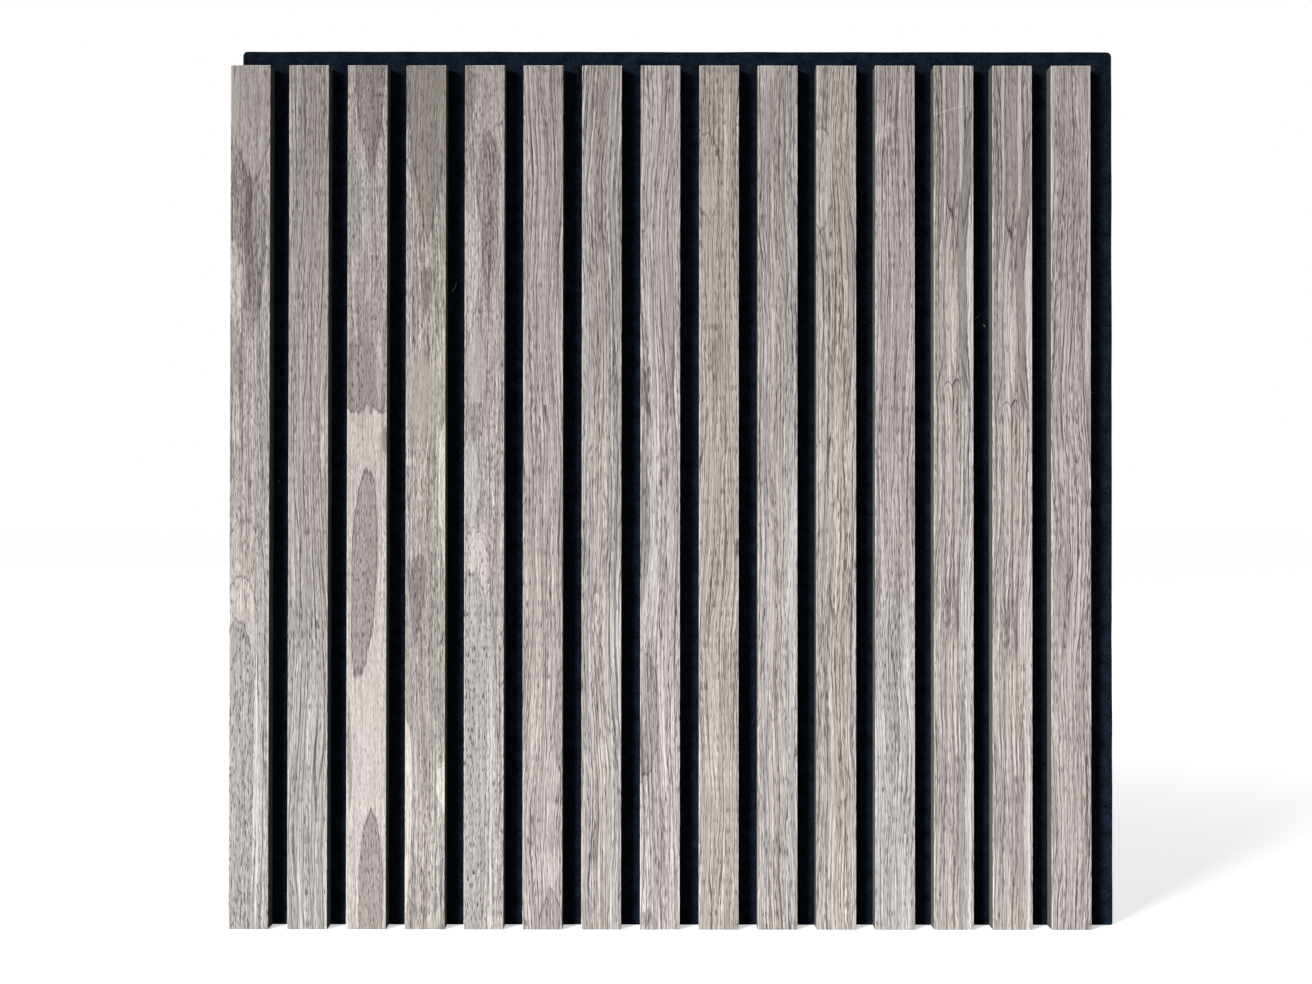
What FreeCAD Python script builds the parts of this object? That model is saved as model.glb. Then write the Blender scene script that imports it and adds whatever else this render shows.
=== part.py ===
"""Acoustic slat wall panel: veneered fibreboard slats glued upright on a sheet of pressed felt.

Millimetres. +Z is up, the slats face -Y, and the origin is the centre of the felt's back face,
which goes against the wall. The first slat overhangs the felt's left edge, so that it covers the
joint and keeps the spacing when the next panel's felt butts against this one.
"""

import FreeCAD
import Part

import os

# Driving dimensions of the slats
SLAT_COUNT = 15
SLAT_WIDTH = 27.0
SLAT_GAP = 13.0
SLAT_LENGTH = 589.0
CORE_THICKNESS = 11.4
VENEER_THICKNESS = 0.6
VENEER_ARRIS_RADIUS = 0.3

# Driving dimensions of the felt
FELT_THICKNESS = 9.0
FELT_SIDE_STEP = 5.0
FELT_TOP_MARGIN = 13.0
FELT_TOP_CORNER_RADIUS = 3.0
FELT_BOTTOM_CORNER_RADIUS = 1.5
FELT_EDGE_RADIUS = 0.6

# The felt is one slat and one gap wide for each slat, so that panels repeat at that module
SLAT_PITCH = SLAT_WIDTH + SLAT_GAP
FELT_WIDTH = SLAT_COUNT * SLAT_PITCH
FELT_HEIGHT = SLAT_LENGTH + FELT_TOP_MARGIN

# Planes that the layers share, from the wall outwards
WALL_PLANE = 0.0
FELT_FRONT = WALL_PLANE - FELT_THICKNESS
CORE_FRONT = FELT_FRONT - CORE_THICKNESS
VENEER_FRONT = CORE_FRONT - VENEER_THICKNESS

FELT_LEFT = -FELT_WIDTH / 2
FELT_RIGHT = FELT_WIDTH / 2
PANEL_BOTTOM = -FELT_HEIGHT / 2
FELT_TOP = FELT_HEIGHT / 2

PLANE_TOLERANCE = 1e-6
PARTS_FOLDER = "parts"


def section_point(x, y):
    """A point of a slat's cross-section, which lies across the panel's foot."""
    return FreeCAD.Vector(x, y, PANEL_BOTTOM)


def outline_point(x, z):
    """A point of the felt's outline, which lies on the wall."""
    return FreeCAD.Vector(x, WALL_PLANE, z)


def rounded_rectangle(low, high, radii, to_point):
    """A flat face between two corners, each of its four corners rounded by its own radius.

    The corners go round from (low, low) by way of (high, low). A radius of 0 leaves one sharp.
    """
    corners = [(low[0], low[1]), (high[0], low[1]), (high[0], high[1]), (low[0], high[1])]
    arrivals = [(0, -1), (1, 0), (0, 1), (-1, 0)]
    departures = [(1, 0), (0, 1), (-1, 0), (0, -1)]
    edges = []
    previous_end = None
    first_start = None
    for corner, arrival, departure, radius in zip(corners, arrivals, departures, radii):
        start = to_point(corner[0] - arrival[0] * radius, corner[1] - arrival[1] * radius)
        end = to_point(corner[0] + departure[0] * radius, corner[1] + departure[1] * radius)
        if previous_end is None:
            first_start = start
        else:
            edges.append(Part.LineSegment(previous_end, start).toShape())
        if radius > 0:
            inset = radius * (1 - 0.5 ** 0.5)
            middle = to_point(
                corner[0] + (departure[0] - arrival[0]) * inset,
                corner[1] + (departure[1] - arrival[1]) * inset,
            )
            edges.append(Part.Arc(start, middle, end).toShape())
        previous_end = end
    edges.append(Part.LineSegment(previous_end, first_start).toShape())
    return Part.Face(Part.Wire(edges))


def lies_on_plane(edge, y):
    """Whether an edge lies wholly on the plane at y, parallel to the wall."""
    box = edge.BoundBox
    return abs(box.YMin - y) < PLANE_TOLERANCE and abs(box.YMax - y) < PLANE_TOLERANCE


def felt_backing():
    """The felt sheet, with its corners rounded and the edge of its face pressed soft."""
    corner_radii = (
        FELT_BOTTOM_CORNER_RADIUS,
        FELT_BOTTOM_CORNER_RADIUS,
        FELT_TOP_CORNER_RADIUS,
        FELT_TOP_CORNER_RADIUS,
    )
    outline = rounded_rectangle(
        (FELT_LEFT, PANEL_BOTTOM), (FELT_RIGHT, FELT_TOP), corner_radii, outline_point
    )
    sheet = outline.extrude(FreeCAD.Vector(0, FELT_FRONT - WALL_PLANE, 0))
    face_edges = [edge for edge in sheet.Edges if lies_on_plane(edge, FELT_FRONT)]
    return sheet.makeFillet(FELT_EDGE_RADIUS, face_edges).Solids[0]


def slat_strip(left, front, back, front_radius):
    """One layer of a slat: a strip from front to back, its two front arrises rounded."""
    radii = (front_radius, front_radius, 0, 0)
    section = rounded_rectangle((left, front), (left + SLAT_WIDTH, back), radii, section_point)
    return section.extrude(FreeCAD.Vector(0, 0, SLAT_LENGTH))


def slat_left(index):
    """The left edge of a slat, counted from 0 at the overhanging one."""
    return FELT_LEFT - FELT_SIDE_STEP + index * SLAT_PITCH


def slat_core(index):
    """The dyed fibreboard strip of a slat, glued to the felt's face."""
    return slat_strip(slat_left(index), CORE_FRONT, FELT_FRONT, 0)


def slat_veneer(index):
    """The wood face of a slat, its long edges eased by sanding, no further than half its thickness."""
    arris = min(VENEER_ARRIS_RADIUS, VENEER_THICKNESS / 2)
    return slat_strip(slat_left(index), VENEER_FRONT, CORE_FRONT, arris)


def panel_pieces():
    """Every piece of the panel by its name."""
    pieces = {"felt_backing": felt_backing()}
    for index in range(SLAT_COUNT):
        pieces[f"slat_core_{index + 1:02d}"] = slat_core(index)
        pieces[f"slat_veneer_{index + 1:02d}"] = slat_veneer(index)
    return pieces


def main():
    """Writes each piece to its own file."""
    os.makedirs(PARTS_FOLDER, exist_ok=True)
    for name, shape in panel_pieces().items():
        shape.exportStep(os.path.join(PARTS_FOLDER, f"{name}.step"))
        print(f"{name}: {shape.ShapeType}, {shape.Volume:.1f} mm3, valid {shape.isValid()}")


main()
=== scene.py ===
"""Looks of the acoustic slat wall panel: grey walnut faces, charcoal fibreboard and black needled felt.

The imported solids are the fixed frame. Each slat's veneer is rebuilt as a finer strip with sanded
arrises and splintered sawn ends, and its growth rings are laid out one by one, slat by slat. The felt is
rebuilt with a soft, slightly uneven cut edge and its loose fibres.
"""

import logging
import math
import random
from dataclasses import dataclass, replace
from enum import Enum
from functools import partial

import bpy
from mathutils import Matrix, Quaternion, Vector, noise


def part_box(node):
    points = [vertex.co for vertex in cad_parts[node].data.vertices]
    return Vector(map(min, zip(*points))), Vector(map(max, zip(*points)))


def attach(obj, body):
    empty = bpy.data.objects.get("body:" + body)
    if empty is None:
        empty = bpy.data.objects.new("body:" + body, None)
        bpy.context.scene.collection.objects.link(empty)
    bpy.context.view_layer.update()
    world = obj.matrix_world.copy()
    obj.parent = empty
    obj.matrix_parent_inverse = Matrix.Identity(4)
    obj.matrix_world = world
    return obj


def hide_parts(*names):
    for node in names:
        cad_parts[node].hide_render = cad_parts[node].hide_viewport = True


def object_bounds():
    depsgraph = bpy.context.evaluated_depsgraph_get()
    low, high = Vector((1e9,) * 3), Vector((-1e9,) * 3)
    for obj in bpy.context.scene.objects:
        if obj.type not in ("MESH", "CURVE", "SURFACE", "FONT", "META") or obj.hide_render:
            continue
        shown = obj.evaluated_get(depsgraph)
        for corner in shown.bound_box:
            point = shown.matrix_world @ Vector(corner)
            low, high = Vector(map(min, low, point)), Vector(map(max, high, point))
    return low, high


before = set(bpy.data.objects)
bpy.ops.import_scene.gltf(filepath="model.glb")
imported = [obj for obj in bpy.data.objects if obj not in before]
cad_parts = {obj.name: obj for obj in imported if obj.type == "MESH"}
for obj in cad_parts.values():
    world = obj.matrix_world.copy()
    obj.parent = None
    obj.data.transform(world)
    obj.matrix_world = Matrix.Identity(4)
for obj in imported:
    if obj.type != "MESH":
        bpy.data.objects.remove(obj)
cad_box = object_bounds()

LOG = logging.getLogger("slat_panel")
MM = 0.001
BODY = "root"
SPINDLE_SIDES = 3
# The narrowest soft step at a figure's edge, in millimetres either way, so that its outline still shows
LEAST_STEP = 0.45
# A figure's outline is its share times the rest, which is a quarter where it is strongest
OUTLINE_PEAK = 4
# The value that soft noise lies about
NOISE_MIDDLE = 0.5
# The Mix node's colour sockets by number, since its other kinds have sockets of the same names
MIX_A = 6
MIX_B = 7
MIX_RESULT = 2

Socket = bpy.types.NodeSocket
Material = bpy.types.Material
Piece = bpy.types.Object
Pair = tuple[float, float]
Point = tuple[float, float, float]


def linear(hex_colour: str) -> tuple[float, float, float, float]:
    """Turns an sRGB hex colour into linear light.

    Args:
        hex_colour: Six hex digits after a hash sign.

    Returns:
        Linear red, green and blue, and an alpha of 1.
    """
    channels = [int(hex_colour[place:place + 2], 16) / 255 for place in (1, 3, 5)]
    light = [c / 12.92 if c <= 0.04045 else ((c + 0.055) / 1.055) ** 2.4 for c in channels]
    return (light[0], light[1], light[2], 1.0)


@dataclass
class Bench:
    """A material or world being wired up node by node."""

    tree: bpy.types.NodeTree

    def add(self, kind: str, *values: object, out: int | str = 0, named: dict | None = None,
            stops: tuple = (), **settings: object) -> Socket | None:
        """Adds a node with its settings and links.

        Args:
            kind: The node's type without Blender's prefix, and its operation after a colon if it has one.
            values: Sockets to link, or plain values, for the first inputs in order. None skips one.
            out: The output that is handed back.
            named: Further inputs by name or number.
            stops: Places and hex colours of a colour ramp.
            settings: The node's own properties.

        Returns:
            The chosen output socket, or nothing for a node that has none.
        """
        kind, _, operation = kind.partition(":")
        node = self.tree.nodes.new("ShaderNode" + kind)
        if operation:
            node.operation = operation
        for name, value in settings.items():
            setattr(node, name, value)
        wanted = [(key, value) for key, value in enumerate(values) if value is not None]
        for key, value in wanted + list((named or {}).items()):
            if isinstance(value, Socket):
                self.tree.links.new(value, node.inputs[key])
            else:
                node.inputs[key].default_value = value
        for number, (place, colour) in enumerate(stops):
            ramp = node.color_ramp.elements
            stop = ramp[number] if number < 2 else ramp.new(place)
            stop.position = place
            stop.color = linear(colour)
        return node.outputs[out] if len(node.outputs) else None


def new_material(name: str) -> tuple[Material, Bench, bpy.types.Node]:
    """Starts a material.

    Args:
        name: What the real material is and how its surface was made.

    Returns:
        The material, its bench and its shader node.
    """
    material = bpy.data.materials.new(name)
    material.use_nodes = True
    shader = material.node_tree.nodes["Principled BSDF"]
    return material, Bench(material.node_tree), shader


def set_surface(bench: Bench, shader: bpy.types.Node, colour: Socket, bump: Socket, roughness: float,
                specular: float) -> None:
    """Links a material's colour and relief, and sets its gloss on the shader's own sockets.

    Args:
        bench: The material's bench.
        shader: Its shader node.
        colour: Its base colour.
        bump: Its relief.
        roughness: How widely it scatters a mirror image.
        specular: How strong that is.
    """
    bench.tree.links.new(colour, shader.inputs["Base Color"])
    bench.tree.links.new(bump, shader.inputs["Normal"])
    shader.inputs["Roughness"].default_value = roughness
    shader.inputs["Specular IOR Level"].default_value = specular


def new_object(name: str, data: bpy.types.ID) -> Piece:
    """Makes an object of a mesh, a lamp or a camera, and puts it in the scene."""
    item = bpy.data.objects.new(name, data)
    bpy.context.scene.collection.objects.link(item)
    return item


def new_piece(name: str, points: list[Point], faces: list[tuple[int, ...]],
              material: Material) -> Piece:
    """Makes a mesh piece that rides on the panel.

    Args:
        name: The piece's name.
        points: Its vertices in metres.
        faces: Its faces as vertex numbers.
        material: Its finish.

    Returns:
        The new object.
    """
    mesh = bpy.data.meshes.new(name)
    mesh.from_pydata(points, [], faces)
    mesh.validate()
    mesh.materials.append(material)
    piece = new_object(name, mesh)
    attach(piece, BODY)
    LOG.info("%s: %d faces", name, len(mesh.polygons))
    return piece


class Tip(Enum):
    """How a growth-ring figure ends along the grain: the power that its width is raised to."""

    POINTED = 1.0
    LENS = 1.5
    ROUND = 2.0


@dataclass(frozen=True)
class Zone:
    """A growth-ring figure on a slat's face: a flame, a lens or a patch of another stain.

    Sizes are millimetres on the face, across from its left edge and along from its top end. A short
    reach up or down gives that end an abrupt, jagged foot, and the lean is how far it shifts across for
    each millimetre along. The stain is added to the leaf's and the outline darkens the figure's edge.
    Calm evens out the grain inside, quiet takes pores away, and green turns the colour. A smooth figure's
    edge isn't fingered by the fibres: it is a curl in the grain, or a rub on the lacquer.
    """

    across: float
    along: float
    half_width: float
    up: float
    down: float
    stain: float
    outline: float = 0.0
    tip: Tip = Tip.POINTED
    lean: float = 0.0
    calm: float = 0.3
    blur: float = 0.08
    green: float = 0.0
    quiet: float = 0.0
    smooth: bool = False

    def share(self, bench: Bench, across: Socket, along: Socket) -> Socket:
        """Tells the inside of this figure from the outside.

        Args:
            bench: The veneer's bench.
            across: Millimetres from the left edge.
            along: Millimetres from the top end, fingered by the fibres.

        Returns:
            1 inside and 0 outside, with a narrow soft step between.
        """
        above = bench.add("Math:MULTIPLY_ADD", along, -1 / self.up, self.along / self.up)
        below = bench.add("Math:MULTIPLY_ADD", along, 1 / self.down, -self.along / self.down)
        reach = bench.add("Math:MAXIMUM", above, below)
        side = bench.add("Math:MULTIPLY_ADD", across, 1 / self.half_width, -self.across / self.half_width)
        if self.lean:
            shift = bench.add("Math:MULTIPLY_ADD", along, -self.lean / self.half_width,
                              self.lean * self.along / self.half_width)
            side = bench.add("Math:ADD", side, shift)
        side = bench.add("Math:ABSOLUTE", side)
        side = bench.add("Math:POWER", side, self.tip.value)
        edge = bench.add("Math:MULTIPLY_ADD", reach, reach, side)
        step = max(self.blur, LEAST_STEP * self.tip.value / self.half_width)
        return bench.add("MapRange", edge, 1 + step, 1 - step, 0.0, 1.0, interpolation_type="SMOOTHSTEP")

    def paint(self, bench: Bench, inside: Socket, stain: Socket, level: float) -> Socket:
        """Adds this figure's stain and its dark outline, and calms the grain there.

        Args:
            bench: The veneer's bench.
            inside: This figure's share.
            stain: The stain so far.
            level: The stain of the leaf as a whole.

        Returns:
            The stain with this figure on it.
        """
        line = OUTLINE_PEAK * self.outline
        ground = self.stain + line + self.calm * level
        pull = bench.add("Math:MULTIPLY_ADD", stain, -self.calm, ground)
        depth = bench.add("Math:MULTIPLY_ADD", inside, -line, pull)
        return bench.add("Math:MULTIPLY_ADD", depth, inside, stain)


@dataclass(frozen=True)
class Grain:
    """How strongly each layer of the grain is stained.

    The pores' length, and how far the fibres wander, are millimetres.
    """

    lines: float
    ring: float
    veins: float
    bands: float
    threads: float
    streaks: float
    fibre: float
    pores: float
    pore_length: float
    crowding: float
    wander: float


class Cut(Enum):
    """How the leaf was sliced from the log."""

    FLAT = Grain(lines=0.18, ring=0.03, veins=0.26, bands=0.04, threads=0.22, streaks=0.34, fibre=0.80,
                 pores=0.40, pore_length=4.6, crowding=0.12, wander=8.0)
    RIFT = Grain(lines=0.52, ring=0.10, veins=0.42, bands=0.06, threads=0.28, streaks=0.24, fibre=0.38,
                 pores=0.40, pore_length=7.0, crowding=0.40, wander=14.0)


@dataclass(frozen=True)
class Leaf:
    """The strip of veneer on one slat."""

    log: int
    cut: Cut
    shade: float
    warm: float
    zones: tuple[Zone, ...]
    slip: float = 0.0


# A figure whose edge isn't fingered
Curl = partial(Zone, smooth=True)

# The swirl that two neighbouring leaves of the same log share
SWIRL = Leaf(13, Cut.RIFT, 0.0, 0.33, (
    Zone(3.4, 90, 0.45, 150, 130, 0.24),
    Zone(6.2, 40, 0.45, 90, 80, 0.24),
    Zone(5.4, 350, 0.45, 120, 260, 0.26),
    Zone(8.9, 430, 0.45, 120, 190, 0.24),
    Zone(13.2, 440, 0.45, 130, 180, 0.26),
    Zone(16.3, 460, 0.45, 120, 170, 0.24),
    Zone(20.6, 330, 0.45, 110, 290, 0.26),
    Zone(22.9, 450, 0.45, 200, 160, 0.24),
    Zone(7.4, 10, 1.5, 90, 110, -0.17, 0.16, calm=0.5, quiet=0.6),
    Zone(18.2, 20, 1.6, 90, 92, -0.19, 0.16, calm=0.5, quiet=0.6),
    Zone(20.6, 20, 0.45, 80, 70, 0.24),
    Zone(13.5, 310, 40, 110, 110, -0.08, calm=0.1, blur=0.5),
    Zone(13.5, 600, 40, 60, 100, -0.05, calm=0.0, blur=0.5),
    Curl(12.1, 66, 4.2, 230, 33, 0.06, 0.30, Tip.ROUND, -0.012, calm=0.4, quiet=0.3),
    Curl(9.3, 74, 0.45, 18, 20, 0.34),
    Curl(23.0, 69, 3.0, 36, 40, 0.16, 0.30, Tip.ROUND, -0.077, calm=0.7, green=0.15, quiet=0.6),
    Curl(19.3, 150, 2.5, 60, 72, 0.15, 0.20, Tip.ROUND, 0.022, calm=0.8, green=0.15, quiet=0.6),
    Zone(24.8, 150, 2.1, 56, 75, -0.17, calm=0.5, lean=0.015, quiet=0.6),
    Curl(26.9, 75, 1.1, 60, 60, -0.24, quiet=0.8),
    Curl(12.0, 162, 4.3, 62, 70, -0.10, 0.28, Tip.ROUND, calm=0.4, quiet=0.3),
    Curl(13.3, 114, 0.45, 14, 40, 0.34),
    Curl(12.8, 100.5, 0.5, 1.6, 3, 0.42),
    Curl(11.6, 98.9, 0.5, 1.7, 1.7, 0.42, lean=0.8),
    Curl(9.7, 222, 3.0, 6, 150, -0.06, 0.42, Tip.ROUND, calm=0.2),
    Curl(15.5, 221, 2.75, 6.5, 160, 0.03, 0.44, Tip.ROUND, calm=0.3),
    Curl(4.0, 211, 0.5, 14, 14, 0.38, lean=-0.19),
    Curl(21.2, 211, 0.5, 14, 14, 0.38, lean=0.21),
    Curl(2.2, 240, 0.45, 26, 90, 0.32),
    Curl(23.6, 240, 0.45, 26, 90, 0.32),
    Curl(14.0, 216.5, 0.55, 3, 3, 0.4, lean=-0.5),
    Zone(23.5, 480, 1.7, 130, 200, -0.16, calm=0.4, quiet=0.5),
    Zone(18.7, 530, 1.3, 100, 120, 0.13, 0.16, calm=0.6, green=0.15, quiet=0.6),
    Zone(9.6, 480, 1.0, 150, 150, -0.12, quiet=0.4),
    Zone(14.6, 420, 0.9, 120, 170, -0.12, quiet=0.4),
))
# A pale rub across the lacquer of one slat
SCUFF = Curl(7, 31.5, 2.6, 6, 5, -0.13, lean=-3.4, calm=0.2, blur=0.5)
LEAVES = (
    Leaf(1, Cut.FLAT, 0.01, 0.28, (
        Zone(6, 92, 9, 34, 40, 0.17, calm=0.0, quiet=-0.5),
        Zone(17, 100, 8, 26, 80, 0.15, 0.10, calm=0.0, quiet=-0.5),
        Zone(14, 150, 5, 40, 40, 0.10, calm=0.0),
        Zone(15, 0, 19, 5, 82, 0.0, 0.26, calm=0.4, quiet=0.3),
        Zone(3, 150, 7, 30, 28, -0.10, 0.14),
        Zone(7, 203, 5, 18, 20, 0.14),
        Zone(14, 196, 3.5, 12, 14, -0.08),
        Curl(2.6, 20, 3.9, 60, 40, -0.06, 0.20, calm=0.5, green=0.4, quiet=0.5),
        Curl(2.3, 3, 0.5, 10, 6.5, 0.4),
        Curl(23.3, 6, 0.5, 3, 3, 0.35),
        Zone(10, 350, 14, 38, 400, -0.05, 0.30, Tip.ROUND),
        Zone(8, 385, 11.5, 36, 300, -0.10, 0.34, Tip.ROUND, calm=0.2),
        Zone(6, 425, 10.5, 46, 300, 0.13, 0.28, Tip.ROUND, calm=0.0, green=0.45, quiet=-0.5),
        Zone(18.8, 500, 0.9, 110, 130, -0.22, quiet=0.8),
    )),
    Leaf(2, Cut.RIFT, 0.03, 0.33, (
        Zone(14.5, 40, 5, 60, 90, 0.08),
        Zone(25.5, 214, 1.2, 6, 6, 0.20),
        Zone(23.5, 266, 1.6, 16, 16, -0.22),
        Zone(14, 600, 40, 260, 300, -0.03, calm=0.0, blur=0.6, green=0.3),
    )),
    Leaf(3, Cut.FLAT, 0.0, 0.28, (
        Curl(15.5, 0, 10, 5, 75, 0.18, 0.20, calm=0.4),
        Zone(2, 95, 6, 40, 40, 0.08, green=0.5),
        Zone(14.5, 160, 10.5, 34, 40, 0.06, -0.12, Tip.ROUND, calm=0.2),
        Zone(18.5, 145, 1.0, 20, 40, -0.12, lean=-0.35),
        Zone(14, 234, 40, 75, 3, 0.05),
        Zone(11, 234, 14, 46, 3, 0.12, 0.08, Tip.ROUND, blur=0.2),
        Zone(22, 208, 2.2, 30, 28, -0.12, 0.10),
        Zone(13, 262, 60, 28.5, 700, -0.12, 0.28, calm=0.4, quiet=0.4),
        Zone(13, 465, 24, 55, 52, -0.05, blur=0.5),
        Zone(26, 257, 1.6, 11, 11, 0.35),
        Zone(11.8, 340, 8.6, 64, 78, 0.20, 0.34, Tip.ROUND, -0.04, quiet=-0.55),
        Zone(2.0, 470, 1.6, 40, 40, 0.24, green=0.6),
        Zone(16.4, 562, 8, 53, 90, 0.20, 0.30, Tip.ROUND, quiet=-0.55),
    )),
    Leaf(4, Cut.FLAT, 0.02, 0.70, (
        Curl(14.8, 0, 14, 5, 121, 0.17, 0.22, calm=0.4, quiet=0.4),
        Curl(15.0, 141, 4.6, 3, 34, 0.20, 0.20, quiet=0.3),
        Zone(14.0, 172, 1.2, 36, 36, -0.12, lean=-0.32),
        Zone(10, 225, 14, 30, 30, -0.02, calm=0.6, blur=0.4, quiet=0.5),
        Zone(27.5, 262, 6, 21, 100, -0.27, 0.30, quiet=0.5),
        Zone(14, 410, 24, 80, 75, 0.04, blur=0.4),
        Curl(9.0, 342, 5.2, 9, 54, 0.20, 0.20, lean=-0.05),
        Zone(27.5, 491, 7, 20, 20, -0.27, 0.22, quiet=0.5),
        Zone(-0.5, 485, 6, 48, 105, -0.25, 0.26, quiet=0.5),
    )),
    Leaf(5, Cut.FLAT, 0.0, 0.23, (
        Zone(17, 0, 14, 5, 46, -0.03, 0.20, Tip.ROUND),
        Curl(1, 12, 6, 40, 40, 0.16, 0.16),
        Curl(16.5, 66, 7.0, 22, 110, 0.17, 0.18, calm=0.0, quiet=-0.4),
        Zone(3, 126, 9, 56, 56, -0.11, 0.16),
        Zone(7.5, 205, 7, 26, 26, -0.02, calm=0.6, quiet=0.6),
        Zone(6.5, 240, 4.5, 13, 13, 0.12),
        Zone(4, 285, 7.5, 34, 30, -0.09, 0.16, green=0.4, quiet=0.4),
        Zone(5, 350, 13, 32, 420, -0.12, 0.34, Tip.ROUND, calm=0.5),
        Zone(5.5, 390, 10, 44, 300, 0.11, 0.30, Tip.ROUND, calm=0.0, green=0.4, quiet=-0.5),
        Zone(18, 490, 0.9, 110, 130, -0.20, quiet=0.8),
    )),
    Leaf(6, Cut.RIFT, 0.0, 0.23, (
        Zone(27, 447, 6, 37, 37, 0.14, 0.24, Tip.LENS),
        Zone(17, 549, 9, 14, 13, -0.08, quiet=0.5),
        Zone(19, 590, 8, 30, 30, 0.08, 0.34),
    )),
    Leaf(21, Cut.RIFT, 0.0, 0.48, (
        Zone(10, 25, 4.5, 10, 10, 0.11),
        Zone(4, 157, 5, 45, 43, -0.07),
        Zone(15, 372, 2, 30, 30, -0.13),
    )),
    Leaf(8, Cut.RIFT, -0.04, 0.18, (
        Zone(0, 98, 4.5, 18, 18, 0.02, 0.28, Tip.ROUND),
        Zone(1.5, 219, 4.5, 14, 14, 0.20),
        Zone(9, 265, 5, 26, 30, -0.12),
        Zone(0.5, 310, 6.5, 48, 64, 0.18, green=0.4),
        Zone(9.0, 345, 2.4, 70, 50, -0.13, lean=0.03, quiet=0.4),
        Zone(14.5, 430, 2.2, 50, 60, -0.13, lean=0.05, quiet=0.4),
        Zone(0, 442, 13, 44, 45, 0.12, 0.30, Tip.ROUND, calm=0.2, quiet=0.2),
        Zone(5, 580, 5, 6, 6, 0.17),
    )),
    Leaf(9, Cut.RIFT, 0.0, 0.73, (
        Zone(6, 74, 8, 28, 30, -0.07, 0.28, Tip.ROUND),
        Zone(14, 198, 2.2, 30, 30, 0.10),
        Zone(12, 450, 1.4, 40, 60, -0.14),
    )),
    Leaf(10, Cut.RIFT, 0.0, 0.48, (
        Zone(5, 4, 6, 8, 12, -0.10),
        Zone(24, 360, 3.5, 90, 90, -0.13),
        Zone(9, 360, 2.5, 70, 80, -0.09),
    )),
    Leaf(11, Cut.RIFT, 0.0, 0.68, (
        Zone(3, 74, 8, 32, 38, -0.08, 0.28, Tip.ROUND),
        Zone(15, 240, 4, 52, 54, -0.08),
        Zone(1, 272, 6, 14, 14, -0.06, 0.20, Tip.ROUND),
    )),
    Leaf(12, Cut.RIFT, 0.0, 0.23, (
        Curl(9.2, 43, 5.5, 5, 11, -0.14, lean=-0.9, blur=0.5),
        Zone(21, 405, 2.5, 19, 19, -0.10, 0.10),
        Zone(14, 520, 30, 170, 300, -0.05, blur=0.5, calm=0.1, green=0.35),
    )),
    replace(SWIRL, zones=SWIRL.zones + (SCUFF,)),
    replace(SWIRL, slip=14.0),
    Leaf(15, Cut.RIFT, 0.02, 0.23, (
        Zone(6, 48, 3, 14, 14, 0.10),
        Curl(0.0, 45, 2.8, 150, 75, -0.10, 0.26, green=0.5, quiet=0.8),
        Curl(26.8, 60, 1.5, 150, 200, -0.14, quiet=0.8),
        Zone(27, 240, 3, 42, 42, 0.20),
        Zone(8, 360, 5, 40, 44, 0.08),
    )),
)


@dataclass(frozen=True)
class Cells:
    """A layer of soft random cells, drawn out along the grain.

    The seed is the layer's own, so that no two share a pattern. Sizes are millimetres, and the detail is
    the number of finer layers that are added.
    """

    seed: float
    width: float
    length: float
    detail: float = 1.0
    roughness: float = 0.55


@dataclass(frozen=True)
class FibreRun:
    """The run of the fibres on one leaf: millimetres across and along them, and the leaf's own seed."""

    bench: Bench
    grain: Grain
    seed: float
    across: Socket
    along: Socket

    def cells(self, layer: Cells) -> Socket:
        """Lays one layer's cells along the fibres, as a value about the noise's middle."""
        side = self.bench.add("Math:MULTIPLY", self.across, 1 / layer.width)
        run = self.bench.add("Math:MULTIPLY", self.along, 1 / layer.length)
        place = self.bench.add("CombineXYZ", side, run, self.seed + layer.seed)
        texture = {"Scale": 1.0, "Detail": layer.detail, "Roughness": layer.roughness}
        return self.bench.add("TexNoise", place, named=texture)

    def sway(self, layer: Cells, reach: float) -> Socket:
        """Turns one layer's cells into a shift to either side, by up to the reach in millimetres."""
        return self.bench.add("Math:MULTIPLY_ADD", self.cells(layer), 2 * reach, -reach)

    def phase(self, layer: Cells, spacing: float, drift: float) -> Socket:
        """Counts the growth rings or the veins across the leaf.

        Args:
            layer: How they drift.
            spacing: How far apart they lie, in millimetres.
            drift: How many spacings they drift to either side.

        Returns:
            How far through its ring a spot lies, from 0 at the early wood to 1 at the late wood.
        """
        count = self.bench.add("Math:MULTIPLY", self.across, 1 / spacing)
        drifted = self.bench.add("Math:MULTIPLY_ADD", self.cells(layer), 2 * drift, count)
        return self.bench.add("Math:FRACT", drifted)


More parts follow.
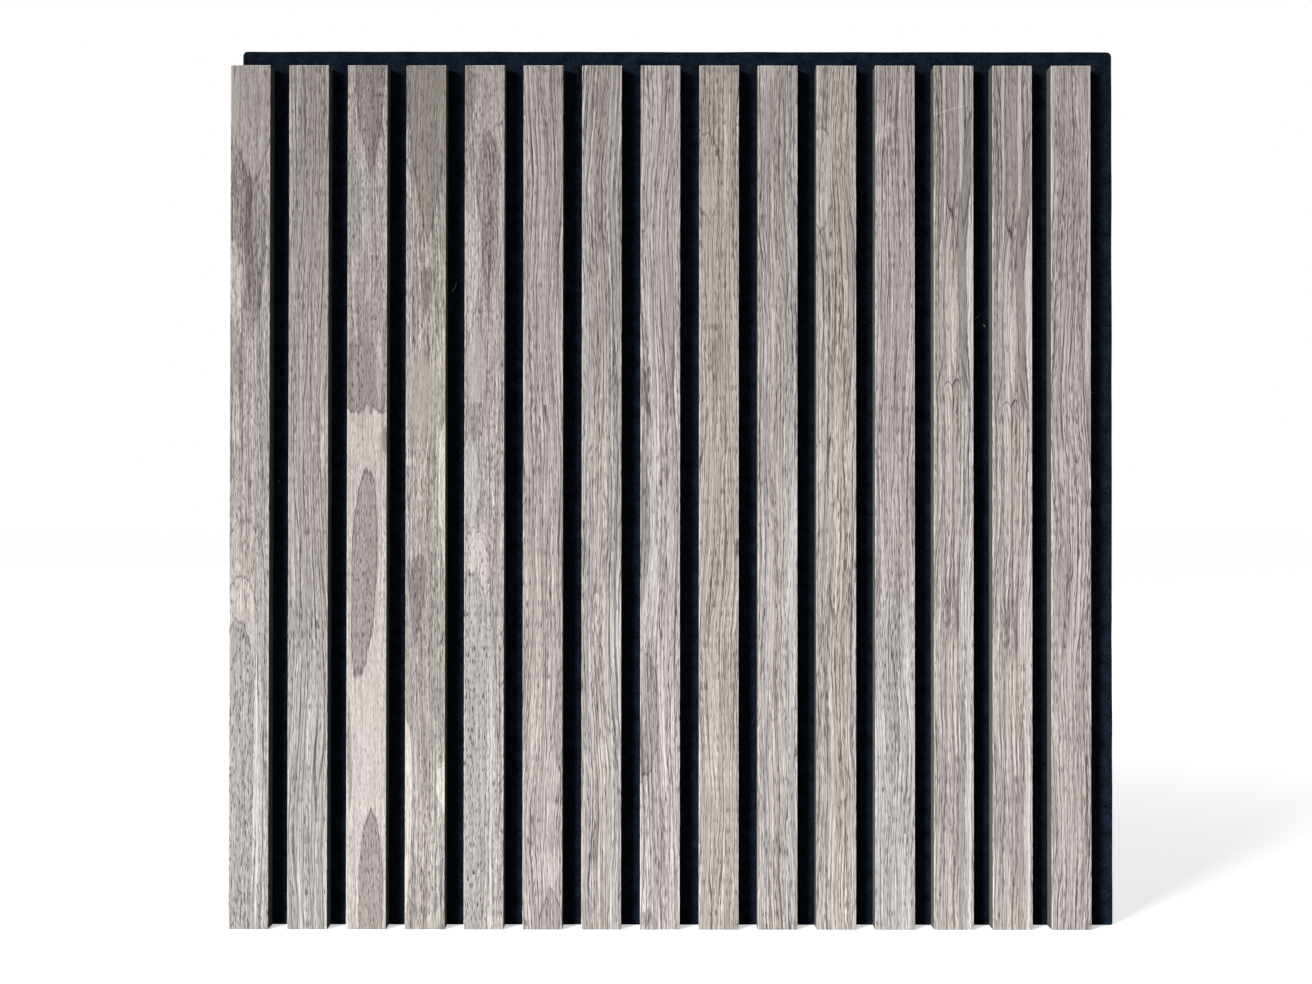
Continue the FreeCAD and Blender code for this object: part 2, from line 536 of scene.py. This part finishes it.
@dataclass(frozen=True)
class GreyWalnutVeneer:
    """Walnut veneer, sliced, bleached, stained grey and sealed with a matt lacquer.

    The stain sinks deeper into the pores and the latewood than into the fibre between them. The eye gets
    a pale warm grey with thin dark ring lines, dashes of pores along the grain, and a gloss so low that
    nothing is mirrored in it.
    """

    shades: tuple = ((0.0, "#E7E1DE"), (0.34, "#B0A9A5"), (0.67, "#7C7573"), (1.0, "#494342"))
    beige_tint: str = "#FFFDF6"
    mauve_tint: str = "#FEFAFB"
    green_tint: str = "#F5FDFC"
    hue_cells: Cells = Cells(9.4, 6.0, 130.0)
    hue_reach: float = 0.8
    # How much greener the wood gets with each millimetre down the slat
    green_rise: float = 0.28 / 590
    base_stain: float = 0.315
    roughness: float = 0.6
    specular: float = 0.3
    relief: float = 0.06
    # How far apart the patterns of two logs start
    seed_step: float = 13.7

    # How the fibres bend, and how they finger the edges of the figures
    wander_cells: Cells = Cells(0.17, 60.0, 150.0, 0.0)
    ripple_cells: Cells = Cells(0.53, 8.0, 34.0)
    ripple_reach: float = 1.2
    wiggle_cells: Cells = Cells(0.63, 9.0, 9.0)
    wiggle_reach: float = 0.25
    finger_cells: Cells = Cells(0.31, 2.4, 50.0, 2.0)
    finger_reach: float = 9.0

    # The ground. A layer's step is how far from its middle value it is stained in full
    band_cells: Cells = Cells(1.7, 6.0, 130.0)
    thread_cells: Cells = Cells(2.7, 0.7, 130.0)
    streak_cells: Cells = Cells(3.7, 0.7, 26.0)
    fibre_cells: Cells = Cells(4.7, 0.55, 6.0)
    soft_step: float = 0.5
    thread_step: float = 0.12
    streak_step: float = 0.2

    # The growth rings and the veins between them, and where their lines fade
    ring_cells: Cells = Cells(5.1, 12.0, 200.0)
    ring_spacing: float = 5.2
    ring_drift: float = 1.8
    ring_line: float = 0.12
    early_wood: float = 0.35
    vein_cells: Cells = Cells(17.0, 12.0, 200.0)
    vein_spacing: float = 2.7
    vein_drift: float = 1.8
    vein_line: float = 0.22
    gap_cells: Cells = Cells(6.3, 3.5, 110.0)
    gap_step: Pair = (0.32, 0.56)
    gap_line: float = 0.1

    # A pore is about 0.2 mm wide, and is drawn twice as wide so that it shows at all
    pore_width: float = 0.42
    pore_seed: float = 7.7
    pore_rarity: float = 0.07
    pore_edge: float = 0.07
    crowd_cells: Cells = Cells(8.9, 5.0, 80.0, 0.0)
    late_thinning: float = 0.08

    # The pale band along the arrises and the top end, its width in millimetres and its paling in stain:
    # partly sanding wear, partly a painted highlight where the edges catch the light
    arris_width: float = 0.8
    arris_wear_and_highlight: float = 0.28

    def fibres(self, run: FibreRun, level: float) -> Socket:
        """Stains the ground: soft mottle, streaks and fine fibre, all about one level.

        Args:
            run: The run of the fibres.
            level: The stain of the leaf as a whole.

        Returns:
            The stain.
        """
        layers = (
            (self.band_cells, run.grain.bands, self.soft_step),
            (self.thread_cells, run.grain.threads, self.thread_step),
            (self.streak_cells, run.grain.streaks, self.streak_step),
            (self.fibre_cells, run.grain.fibre, self.soft_step),
        )
        stain: Socket | float = level
        for cells, depth, step in layers:
            layer = run.cells(cells)
            low, high = NOISE_MIDDLE - step, NOISE_MIDDLE + step
            layer = run.bench.add("MapRange", layer, low, high, -depth / 2, depth / 2)
            stain = run.bench.add("Math:ADD", layer, stain)
        return stain

    def rings(self, run: FibreRun, phase: Socket, stain: Socket) -> Socket:
        """Draws the growth rings: pale early wood that ends in a thin dark line, with veins between.

        Args:
            run: The run of the fibres.
            phase: How far through its ring a spot lies.
            stain: The stain so far.

        Returns:
            The stain with the rings in it.
        """
        bench, grain = run.bench, run.grain
        line = bench.add("MapRange", phase, 1 - self.ring_line, 1 - self.ring_line / 2, 0.0, grain.lines)
        vein = run.phase(self.vein_cells, self.vein_spacing, self.vein_drift)
        thin = bench.add("MapRange", vein, 1 - self.vein_line, 1 - self.vein_line / 2, 0.0, grain.veins)
        drawn = bench.add("Math:MAXIMUM", line, thin)
        broken = bench.add("MapRange", run.cells(self.gap_cells), *self.gap_step, self.gap_line, 1.0)
        stain = bench.add("Math:MULTIPLY_ADD", drawn, broken, stain)
        early = bench.add("MapRange", phase, 0.0, self.early_wood, -grain.ring, 0.0)
        return bench.add("Math:ADD", stain, early)

    def pores(self, run: FibreRun, phase: Socket, stain: Socket, quiet: Socket | None) -> Socket:
        """Opens the pores: short dashes along the grain, thickest in the early wood.

        Args:
            run: The run of the fibres.
            phase: How far through its ring a spot lies.
            stain: The stain so far.
            quiet: The share of the pores that each spot lacks, or nothing for a leaf that lacks none.

        Returns:
            The stain with the pores in it.
        """
        bench, grain = run.bench, run.grain
        dashes = run.cells(Cells(self.pore_seed, self.pore_width, grain.pore_length, 0.0))
        crowd = run.cells(self.crowd_cells)
        crowd = bench.add("Math:MULTIPLY_ADD", crowd, grain.crowding, dashes)
        crowd = bench.add("Math:MULTIPLY_ADD", phase, -self.late_thinning, crowd)
        start = NOISE_MIDDLE + NOISE_MIDDLE * grain.crowding + self.pore_rarity
        pore = bench.add("MapRange", crowd, start, start + self.pore_edge, 0.0, 1.0)
        depth: Socket | float = grain.pores
        if quiet is not None:
            depth = bench.add("Math:MULTIPLY_ADD", quiet, -grain.pores, grain.pores)
        return bench.add("Math:MULTIPLY_ADD", pore, depth, stain)

    def arrises(self, bench: Bench, across: Socket, down: Socket, width: float, stain: Socket) -> Socket:
        """Thins the stain along both sanded arrises and at the top end: partly the stain worn thin by
        sanding, partly a painted highlight where the edges catch the light.

        Args:
            bench: The veneer's bench.
            across: Millimetres from the left edge.
            down: Millimetres from the top end.
            width: The strip's width in millimetres.
            stain: The stain so far.

        Returns:
            The stain with paler arrises: worn, and with a painted highlight.
        """
        right = bench.add("Math:SUBTRACT", width, across)
        inward = bench.add("Math:MINIMUM", across, right)
        inward = bench.add("Math:MINIMUM", inward, down)
        # Painted highlight on the arrises and the top end, on top of the sanding wear
        worn_and_highlit = bench.add("MapRange", inward, 0.0, self.arris_width, -self.arris_wear_and_highlight, 0.0)
        return bench.add("Math:ADD", stain, worn_and_highlit)

    def tint(self, run: FibreRun, colour: Socket, warm: float, green: Socket) -> Socket:
        """Turns the stained colour towards beige, mauve or green, as the wood's own colour shows through.

        Args:
            run: The run of the fibres.
            colour: The stained colour.
            warm: How far the leaf as a whole leans from mauve to beige.
            green: How green each spot is.

        Returns:
            The colour of the wood.
        """
        bench = run.bench
        hue = run.cells(self.hue_cells)
        beige = bench.add("Math:MULTIPLY_ADD", hue, self.hue_reach, warm - self.hue_reach / 2)
        cast = bench.add("Mix", beige, out=MIX_RESULT, data_type="RGBA",
                         named={MIX_A: linear(self.mauve_tint), MIX_B: linear(self.beige_tint)})
        cast = bench.add("Mix", green, out=MIX_RESULT, data_type="RGBA",
                         named={MIX_A: cast, MIX_B: linear(self.green_tint)})
        return bench.add("Mix", 1.0, out=MIX_RESULT, data_type="RGBA", blend_type="MULTIPLY",
                         named={MIX_A: colour, MIX_B: cast})

    def material(self, name: str, leaf: Leaf, low: Vector, high: Vector) -> Material:
        """Makes the material of one slat's face.

        Args:
            name: The material's name.
            leaf: The strip's own figure.
            low: The strip's lowest corner in metres.
            high: The strip's highest corner in metres.

        Returns:
            The material.
        """
        material, bench, shader = new_material(name)
        place = bench.add("SeparateXYZ", bench.add("TexCoord", out="Object")).node.outputs
        across = bench.add("Math:MULTIPLY_ADD", place["X"], 1 / MM, -low.x / MM)
        down = bench.add("Math:MULTIPLY_ADD", place["Z"], -1 / MM, high.z / MM)
        along = bench.add("Math:SUBTRACT", down, leaf.slip)

        straight = FibreRun(bench, leaf.cut.value, self.seed_step * leaf.log, across, along)
        ripple = straight.sway(self.ripple_cells, self.ripple_reach)
        wiggle = straight.sway(self.wiggle_cells, self.wiggle_reach)
        rippled = bench.add("Math:ADD", across, ripple)
        rippled = bench.add("Math:ADD", rippled, wiggle)
        wander = replace(straight, across=rippled).cells(self.wander_cells)
        flow = bench.add("Math:MULTIPLY_ADD", wander, straight.grain.wander, rippled)
        run = replace(straight, across=flow)
        fingers = run.sway(self.finger_cells, self.finger_reach)
        fingered = bench.add("Math:ADD", along, fingers)

        level = self.base_stain + leaf.shade
        phase = run.phase(self.ring_cells, self.ring_spacing, self.ring_drift)
        stain = self.rings(run, phase, self.fibres(run, level))
        green = bench.add("Math:MULTIPLY", along, self.green_rise)
        quiet = None
        for zone in leaf.zones:
            inside = zone.share(bench, rippled, along if zone.smooth else fingered)
            stain = zone.paint(bench, inside, stain, level)
            if zone.green:
                green = bench.add("Math:MULTIPLY_ADD", inside, zone.green, green)
            if zone.quiet:
                quiet = bench.add("Math:MULTIPLY_ADD", inside, zone.quiet, quiet or 0.0)
        stain = self.pores(run, phase, stain, quiet)
        # Paler arrises and top end: sanding wear and a painted highlight
        stain = self.arrises(bench, across, down, (high.x - low.x) / MM, stain)

        wood = self.tint(run, bench.add("ValToRGB", stain, stops=self.shades), leaf.warm, green)
        bump = bench.add("Bump", named={"Height": stain, "Distance": self.relief * MM}, invert=True)
        set_surface(bench, shader, wood, bump, self.roughness, self.specular)
        return material


@dataclass(frozen=True)
class CharcoalFibreboard:
    """Medium-density fibreboard, dyed charcoal through its thickness and ripped on a saw.

    The eye gets a dull dark grey with a fine paler speck of pressed fibre and faint saw lines along it.
    """

    ground: str = "#545550"
    fleck: str = "#686964"
    fleck_size: float = 0.7
    fleck_step: Pair = (0.7, 1.3)
    saw_width: float = 1.2
    saw_length: float = 45.0
    relief: float = 0.08
    roughness: float = 0.85
    specular: float = 0.15

    def material(self) -> Material:
        """Makes the material."""
        material, bench, shader = new_material("charcoal_fibreboard_sawn")
        place = bench.add("TexCoord", out="Object")
        flecks = bench.add("TexNoise", place, named={"Scale": 1 / (self.fleck_size * MM), "Detail": 3.0})
        across, along = 1 / (self.saw_width * MM), 1 / (self.saw_length * MM)
        sawn = bench.add("VectorMath:MULTIPLY", place, (across, across, along))
        lines = bench.add("TexNoise", sawn, named={"Scale": 1.0, "Detail": 1.0})
        surface = bench.add("Math:ADD", flecks, lines)
        share = bench.add("MapRange", surface, *self.fleck_step, 0.0, 1.0)
        colour = bench.add("ValToRGB", share, stops=((0.0, self.ground), (1.0, self.fleck)))
        bump = bench.add("Bump", named={"Height": surface, "Distance": self.relief * MM})
        set_surface(bench, shader, colour, bump, self.roughness, self.specular)
        return material


@dataclass(frozen=True)
class NeedledFelt:
    """Polyester felt, carded, dyed black, needle-punched and pressed into a stiff sheet.

    It swallows nearly all light. The eye gets a bluish black with a faint tangle of paler fibres and no
    gloss. A fibre is about 0.03 mm thick, so the tangle is drawn at the size of its tufts.
    """

    ground: str = "#070D16"
    fibre: str = "#2B3748"
    fibre_step: Pair = (0.56, 0.96)
    tuft_size: float = 1.0
    tuft_roughness: float = 0.65
    tuft_twist: float = 1.2
    cloud_size: float = 9.0
    cloud_share: float = 0.4
    relief: float = 0.35
    roughness: float = 1.0
    specular: float = 0.0
    sheen: float = 0.01

    def material(self) -> Material:
        """Makes the material."""
        material, bench, shader = new_material("black_polyester_felt_needled")
        place = bench.add("TexCoord", out="Object")
        tangle = {"Roughness": self.tuft_roughness, "Distortion": self.tuft_twist}
        tufts = bench.add("TexNoise", place,
                          named={"Scale": 1 / (self.tuft_size * MM), "Detail": 3.0, **tangle})
        clouds = bench.add("TexNoise", place, named={"Scale": 1 / (self.cloud_size * MM), "Detail": 2.0})
        both = bench.add("Math:MULTIPLY_ADD", clouds, self.cloud_share, tufts)
        share = bench.add("MapRange", both, *self.fibre_step, 0.0, 1.0)
        colour = bench.add("ValToRGB", share, stops=((0.0, self.ground), (1.0, self.fibre)))
        bump = bench.add("Bump", named={"Height": tufts, "Distance": self.relief * MM})
        set_surface(bench, shader, colour, bump, self.roughness, self.specular)
        shader.inputs["Sheen Weight"].default_value = self.sheen
        return material


@dataclass(frozen=True)
class StrayLint:
    """Undyed polyester lint, shed and caught on the felt: a dull pale grey thread, darker in places."""

    thread: str = "#B4B4B6"
    shaded: str = "#7C7C80"
    thread_step: Pair = (0.35, 0.65)
    lump_size: float = 1.5
    roughness: float = 0.9

    def material(self) -> Material:
        """Makes the material."""
        material, bench, shader = new_material("undyed_polyester_lint")
        place = bench.add("TexCoord", out="Object")
        lumps = bench.add("TexNoise", place, named={"Scale": 1 / (self.lump_size * MM), "Detail": 1.0})
        dark, pale = self.thread_step
        colour = bench.add("ValToRGB", lumps, stops=((dark, self.shaded), (pale, self.thread)))
        bench.tree.links.new(colour, shader.inputs["Base Color"])
        shader.inputs["Roughness"].default_value = self.roughness
        return material


def shown_rays(bench: Bench) -> Socket:
    """Tells rays that show a surface, straight or in a mirror or glass, from those that carry light.

    Args:
        bench: The material's or the world's bench.

    Returns:
        1 for a ray that shows what it meets, and 0 for any other.
    """
    path = bench.add("LightPath", out="Is Camera Ray").node.outputs
    mirrored = bench.add("Math:MAXIMUM", path["Is Camera Ray"], path["Is Glossy Ray"])
    return bench.add("Math:MAXIMUM", mirrored, path["Is Transmission Ray"])


@dataclass(frozen=True)
class PaperSweep:
    """White paper, matt: seen itself it is white, apart from the panel's soft shadow on it.

    It throws back less light than it shows, because the photograph's own background leaves the gaps
    between the slats dark. What is seen glows a little less near the panel, in metres from its middle, so
    that the shadow shows.
    """

    paper: str = "#9A9A9A"
    shown_paper: str = "#FFFFFF"
    near: float = 0.6
    far: float = 2.6
    near_glow: float = 0.56
    far_glow: float = 0.96

    def material(self) -> Material:
        """Makes the material."""
        material, bench, shader = new_material("white_paper_matt")
        bench.tree.nodes.remove(shader)
        paper = bench.add("BsdfDiffuse", linear(self.paper))
        shown = bench.add("BsdfDiffuse", linear(self.shown_paper))
        place = bench.add("TexCoord", out="Object")
        distance = bench.add("VectorMath:LENGTH", place, out="Value")
        glow = bench.add("MapRange", distance, self.near, self.far, self.near_glow, self.far_glow)
        white = bench.add("AddShader", shown, bench.add("Emission", None, glow))
        mixed = bench.add("MixShader", shown_rays(bench), paper, white)
        bench.tree.links.new(mixed, bench.tree.nodes["Material Output"].inputs["Surface"])
        return material


def face_corners(low: Vector, high: Vector) -> tuple[Pair, ...]:
    """Goes round the front of a box anticlockwise from its bottom left: places across and up."""
    return ((low.x, low.z), (high.x, low.z), (high.x, high.z), (low.x, high.z))


def ring_walls(rings: int, count: int) -> list[tuple[int, ...]]:
    """Joins rings of points, from front to back, into a closed skin.

    Args:
        rings: How many rings there are.
        count: Points in each, anticlockwise as seen from the front.

    Returns:
        The faces as vertex numbers: the front, the walls and the back.
    """
    faces = [tuple(range(count))]
    for ring in range(rings - 1):
        near, far = ring * count, (ring + 1) * count
        for spot in range(count):
            after = (spot + 1) % count
            faces.append((near + spot, far + spot, far + after, near + after))
    faces.append(tuple(reversed(range((rings - 1) * count, rings * count))))
    return faces


def smooth_walls(piece: Piece) -> None:
    """Shades the walls of a piece made of rings as one curve, and keeps its front and back flat."""
    for polygon in piece.data.polygons:
        polygon.use_smooth = polygon.loop_total == 4


@dataclass(frozen=True)
class Strand:
    """A loose fibre, thickest at its middle."""

    path: tuple[Vector, ...]
    thickness: float


def build_strands(name: str, strands: list[Strand], material: Material) -> None:
    """Builds loose fibres as slim three-sided spindles in one piece.

    Args:
        name: The piece's name.
        strands: The fibres.
        material: Their finish.
    """
    points: list[Point] = []
    faces: list[tuple[int, ...]] = []
    for strand in strands:
        start = len(points)
        along = (strand.path[-1] - strand.path[0]).normalized()
        side = along.orthogonal().normalized()
        spokes = [Quaternion(along, math.tau * turn / SPINDLE_SIDES) @ side for turn in range(SPINDLE_SIDES)]
        inner = strand.path[1:-1]
        points.append(tuple(strand.path[0]))
        for place in inner:
            points += [tuple(place + spoke * strand.thickness / 2) for spoke in spokes]
        points.append(tuple(strand.path[-1]))
        last = len(points) - 1
        for spot in range(SPINDLE_SIDES):
            after = (spot + 1) % SPINDLE_SIDES
            faces.append((start, start + 1 + after, start + 1 + spot))
            for ring in range(len(inner) - 1):
                near, far = start + 1 + ring * SPINDLE_SIDES, start + 1 + (ring + 1) * SPINDLE_SIDES
                faces.append((near + spot, near + after, far + after, far + spot))
            faces.append((last, last - SPINDLE_SIDES + spot, last - SPINDLE_SIDES + after))
    new_piece(name, points, faces, material)


@dataclass
class Slat:
    """One slat: a fibreboard core and the strip of veneer on its face."""

    number: int
    leaf: Leaf
    arris: float = 0.3 * MM
    arris_steps: int = 4
    side_step: float = 2.4 * MM
    end_step: float = 0.5 * MM
    side_nick: float = 0.12 * MM
    top_nick: float = 0.2 * MM
    foot_nick: float = 0.55 * MM
    nick_rarity: int = 8

    def outline(self, low: Vector, high: Vector) -> list[Pair]:
        """Goes round the face anticlockwise, with the small nicks that the saw tore.

        Args:
            low: The strip's lowest corner.
            high: The strip's highest corner.

        Returns:
            Points across and up, in metres.
        """
        chance = random.Random(self.number)
        corners = face_corners(low, high)
        edges = (
            (self.end_step, self.foot_nick, (0, 1)),
            (self.side_step, self.side_nick, (-1, 0)),
            (self.end_step, self.top_nick, (0, -1)),
            (self.side_step, self.side_nick, (1, 0)),
        )
        points = []
        for here, there, (step, nick, inward) in zip(corners, corners[1:] + corners[:1], edges):
            count = round(math.dist(here, there) / step)
            for spot in range(count):
                share = spot / count
                depth = nick * chance.random() ** self.nick_rarity
                points.append((
                    here[0] + (there[0] - here[0]) * share + inward[0] * depth,
                    here[1] + (there[1] - here[1]) * share + inward[1] * depth,
                ))
        return points

    def build_veneer(self, finish: GreyWalnutVeneer) -> None:
        """Builds the veneer with its sanded arrises, in place of the plain strip.

        Args:
            finish: What the veneer is.
        """
        node = f"slat_veneer_{self.number:02d}"
        low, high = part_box(node)
        middle, half = (low + high) / 2, (high - low) / 2
        turns = [step / self.arris_steps * math.pi / 2 for step in range(self.arris_steps + 1)]
        rings = [(self.arris * (1 - math.sin(turn)), low.y + self.arris * (1 - math.cos(turn)))
                 for turn in turns]
        rings.append((0.0, high.y))
        outline = self.outline(low, high)
        points = []
        for inset, depth in rings:
            wide, tall = 1 - inset / half.x, 1 - inset / half.z
            for x, z in outline:
                points.append((middle.x + (x - middle.x) * wide, depth, middle.z + (z - middle.z) * tall))
        faces = ring_walls(len(rings), len(outline))
        material = finish.material(f"grey_walnut_veneer_lacquered_{self.number:02d}", self.leaf, low, high)
        piece = new_piece(f"walnut_face_{self.number:02d}", points, faces, material)
        smooth_walls(piece)
        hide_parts(node)

    def dress_core(self, material: Material) -> None:
        """Gives the fibreboard core its finish."""
        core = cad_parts[f"slat_core_{self.number:02d}"]
        core.data.materials.clear()
        core.data.materials.append(material)
        LOG.info("%s: dressed", core.name)


@dataclass
class FeltSheet:
    """The felt sheet with its cut edge and the fibres that stand out of it."""

    node: str = "felt_backing"
    # Anticlockwise from the bottom left
    corner_radii: tuple[float, ...] = (1.5 * MM, 1.5 * MM, 3.4 * MM, 3.2 * MM)
    corner_steps: int = 6
    edge_step: float = 2.0 * MM
    edge_round: float = 0.7 * MM
    # The cut edge from front to back: a share of the thickness, what is added to it, and how far the edge
    # lies inwards there, the last two in edge rounds
    profile: tuple[Point, ...] = (
        (0.0, 0.0, 1.0), (0.0, 0.3, 0.3), (0.0, 1.0, 0.0), (0.35, 0.0, 0.25), (0.65, 0.0, 0.1),
        (1.0, -1.0, 0.0), (1.0, -0.3, 0.25), (1.0, 0.0, 0.8),
    )
    # How far the edge wavers, how long its waves are, and how much shorter they are through the thickness
    waver: float = 0.5 * MM
    waver_length: float = 26.0 * MM
    waver_squeeze: float = 4.0
    hairs: int = 4200
    hair_length: float = 1.3 * MM
    hair_thickness: float = 0.09 * MM
    # The shortest hair and the place of its bend as shares of its length, and how wildly it aims and curls
    hair_least: float = 0.5
    hair_bend: float = 0.6
    hair_splay: float = 0.9
    hair_curl: float = 0.5

    def outline(self) -> list[tuple[Vector, Vector]]:
        """Goes round the sheet anticlockwise.

        Returns:
            Places on the edge, each with the direction out of the sheet.
        """
        low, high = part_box(self.node)
        bends = []
        for number, ((x, z), radius) in enumerate(zip(face_corners(low, high), self.corner_radii)):
            centre = Vector((x - math.copysign(radius, x), z - math.copysign(radius, z)))
            for step in range(self.corner_steps + 1):
                turn = math.radians(180 + 90 * (number + step / self.corner_steps))
                out = Vector((math.cos(turn), math.sin(turn)))
                bends.append((centre + out * radius, out))
        places = []
        for (here, out), (there, _) in zip(bends, bends[1:] + bends[:1]):
            count = max(1, round((there - here).length / self.edge_step))
            places += [(here.lerp(there, spot / count), out) for spot in range(count)]
        return places

    def build(self, material: Material) -> None:
        """Builds the sheet and its stray hairs.

        Args:
            material: The felt.
        """
        low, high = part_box(self.node)
        outline = self.outline()
        points: list[Point] = []
        for share, added, inset in self.profile:
            depth = low.y + share * (high.y - low.y) + added * self.edge_round
            for place, out in outline:
                spot = Vector((place.x, self.waver_squeeze * depth, place.y)) / self.waver_length
                uneven = self.waver / 2 * noise.noise(spot)
                x, z = place - out * (inset * self.edge_round + uneven)
                points.append((x, depth, z))
        faces = ring_walls(len(self.profile), len(outline))
        sheet = new_piece("felt_sheet", points, faces, material)
        smooth_walls(sheet)
        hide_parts(self.node)
        self.build_hairs(outline, low.y, high.y, material)

    def build_hairs(self, outline: list[tuple[Vector, Vector]], front: float, back: float,
                    material: Material) -> None:
        """Stands loose fibres out of the cut edge.

        Args:
            outline: Places on the edge, each with the direction out of the sheet.
            front: The sheet's front plane.
            back: The sheet's back plane.
            material: The felt.
        """
        chance = random.Random(self.hairs)
        hairs = []
        for _ in range(self.hairs):
            place, (out_x, out_z) = chance.choice(outline)
            outward = Vector((out_x, 0, out_z))
            root = Vector((place.x, chance.uniform(front, back), place.y)) - outward * self.waver
            splay = Vector(chance.uniform(-self.hair_splay, self.hair_splay) for _ in range(3))
            aim = (outward + splay).normalized()
            length = self.hair_length * chance.uniform(self.hair_least, 1.0)
            middle = root + aim * length * self.hair_bend
            curl = Vector(chance.uniform(-self.hair_curl, self.hair_curl) for _ in range(3))
            tip = middle + (aim + curl) * length * (1 - self.hair_bend)
            hairs.append(Strand((root, middle, tip), self.hair_thickness))
        build_strands("felt_edge_fibres", hairs, material)


@dataclass
class Lint:
    """The few threads and flecks of lint that lie on the felt between the slats."""

    node: str = "felt_backing"
    # Both ends of each thread across and up the panel, how far it bows, and its thickness, in millimetres
    threads: tuple[tuple[float, ...], ...] = (
        (-152.1, 142.0, -155.9, 134.5, 0.9, 0.55),
        (-274.6, 4.3, -273.9, 3.4, 0.2, 0.6),
        (209.6, 120.2, 204.9, 116.1, 0.5, 0.3),
        (211.0, 112.5, 212.1, 110.6, 0.2, 0.95),
        (286.0, 65.9, 286.9, 65.0, 0.2, 0.6),
    )
    bends: int = 5

    def build(self, material: Material) -> None:
        """Lays the threads on the felt's face.

        Args:
            material: The lint.
        """
        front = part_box(self.node)[0].y
        strands = []
        for x0, z0, x1, z1, bow, thickness in self.threads:
            start, end = Vector((x0, 0, z0)) * MM, Vector((x1, 0, z1)) * MM
            lie = Vector((0, front - thickness * MM / 2, 0))
            side = (end - start).cross(Vector((0, 1, 0))).normalized() * bow * MM
            path = []
            for bend in range(self.bends):
                share = bend / (self.bends - 1)
                path.append(start.lerp(end, share) + side * math.sin(math.pi * share) + lie)
            strands.append(Strand(tuple(path), thickness * MM))
        build_strands("lint_threads", strands, material)


@dataclass(frozen=True)
class Softbox:
    """A soft rectangular lamp: place, aim and size in metres, beam in degrees, power in watts."""

    name: str
    place: Point
    target: Point
    size: Pair
    spread: float
    power: float

    def hang(self) -> None:
        """Hangs the lamp and aims it."""
        light = bpy.data.lights.new(self.name, "AREA")
        light.shape = "RECTANGLE"
        light.size, light.size_y = self.size
        light.spread = math.radians(self.spread)
        light.energy = self.power
        lamp = new_object(self.name, light)
        lamp.location = self.place
        aim = Vector(self.target) - Vector(self.place)
        lamp.rotation_euler = aim.to_track_quat("-Z", "Y").to_euler()
        lamp.visible_camera = False


@dataclass
class Studio:
    """A white paper floor, two soft lamps, and the camera where the photograph was taken from.

    The lamp at the left aims past the panel's lower right, so that the panel lies in the fading edge of
    its beam and gets brighter towards its foot. The other hangs behind the panel and lights only its back.
    """

    camera_place: Point = (-14.08 * MM, -1061.0 * MM, -11.46 * MM)
    camera_turn: Point = (90.4465, -0.0491, 0.0176)
    lens: float = 41.88
    floor_reach: float = 14.0
    sky_light: float = 0.035
    lamps: tuple[Softbox, ...] = (
        Softbox("left_softbox", (-2.83, -3.37, 0.75), (0.474, -0.884, -1.421), (1.2, 1.6), 61.0, 80.2),
        Softbox("back_softbox", (1.6, 3.3, 1.5), (0.0, 0.0, 0.0), (1.6, 1.6), 180.0, 80.0),
    )

    def set_camera(self) -> None:
        """Puts the camera in its place."""
        lens = bpy.data.cameras.new("photo_camera")
        lens.lens = self.lens
        camera = new_object("photo_camera", lens)
        camera.location = self.camera_place
        camera.rotation_euler = [math.radians(angle) for angle in self.camera_turn]
        bpy.context.scene.camera = camera

    def set_sky(self) -> None:
        """Makes the surroundings white to look at, and an even dim light."""
        world = bpy.data.worlds.new("white_surround")
        world.use_nodes = True
        bench = Bench(world.node_tree)
        world.node_tree.nodes.remove(world.node_tree.nodes["Background"])
        white = linear("#FFFFFF")
        dim = bench.add("Background", white, self.sky_light)
        full = bench.add("Background", white, 1.0)
        mixed = bench.add("MixShader", shown_rays(bench), dim, full)
        bench.tree.links.new(mixed, bench.tree.nodes["World Output"].inputs["Surface"])
        bpy.context.scene.world = world

    def lay_floor(self, material: Material) -> None:
        """Lays the paper floor under the panel's foot."""
        reach = self.floor_reach
        height = cad_box[0].z
        mesh = bpy.data.meshes.new("paper_floor")
        corners = ((-reach, -reach), (reach, -reach), (reach, reach), (-reach, reach))
        mesh.from_pydata([(x, y, height) for x, y in corners], [], [(0, 1, 2, 3)])
        mesh.materials.append(material)
        floor = new_object("paper_floor", mesh)

    def build(self) -> None:
        """Sets up the floor, the light and the camera."""
        self.lay_floor(PaperSweep().material())
        self.set_sky()
        for lamp in self.lamps:
            lamp.hang()
        self.set_camera()
        bpy.context.scene.view_settings.view_transform = "Standard"


def main() -> None:
    """Builds the panel's looks piece by piece, then the studio."""
    logging.basicConfig(level=logging.INFO, format="%(name)s: %(message)s")
    veneer = GreyWalnutVeneer()
    fibreboard = CharcoalFibreboard().material()
    for number, leaf in enumerate(LEAVES, start=1):
        slat = Slat(number, leaf)
        slat.build_veneer(veneer)
        slat.dress_core(fibreboard)
    FeltSheet().build(NeedledFelt().material())
    Lint().build(StrayLint().material())
    Studio().build()


if __name__ == "__main__":
    main()
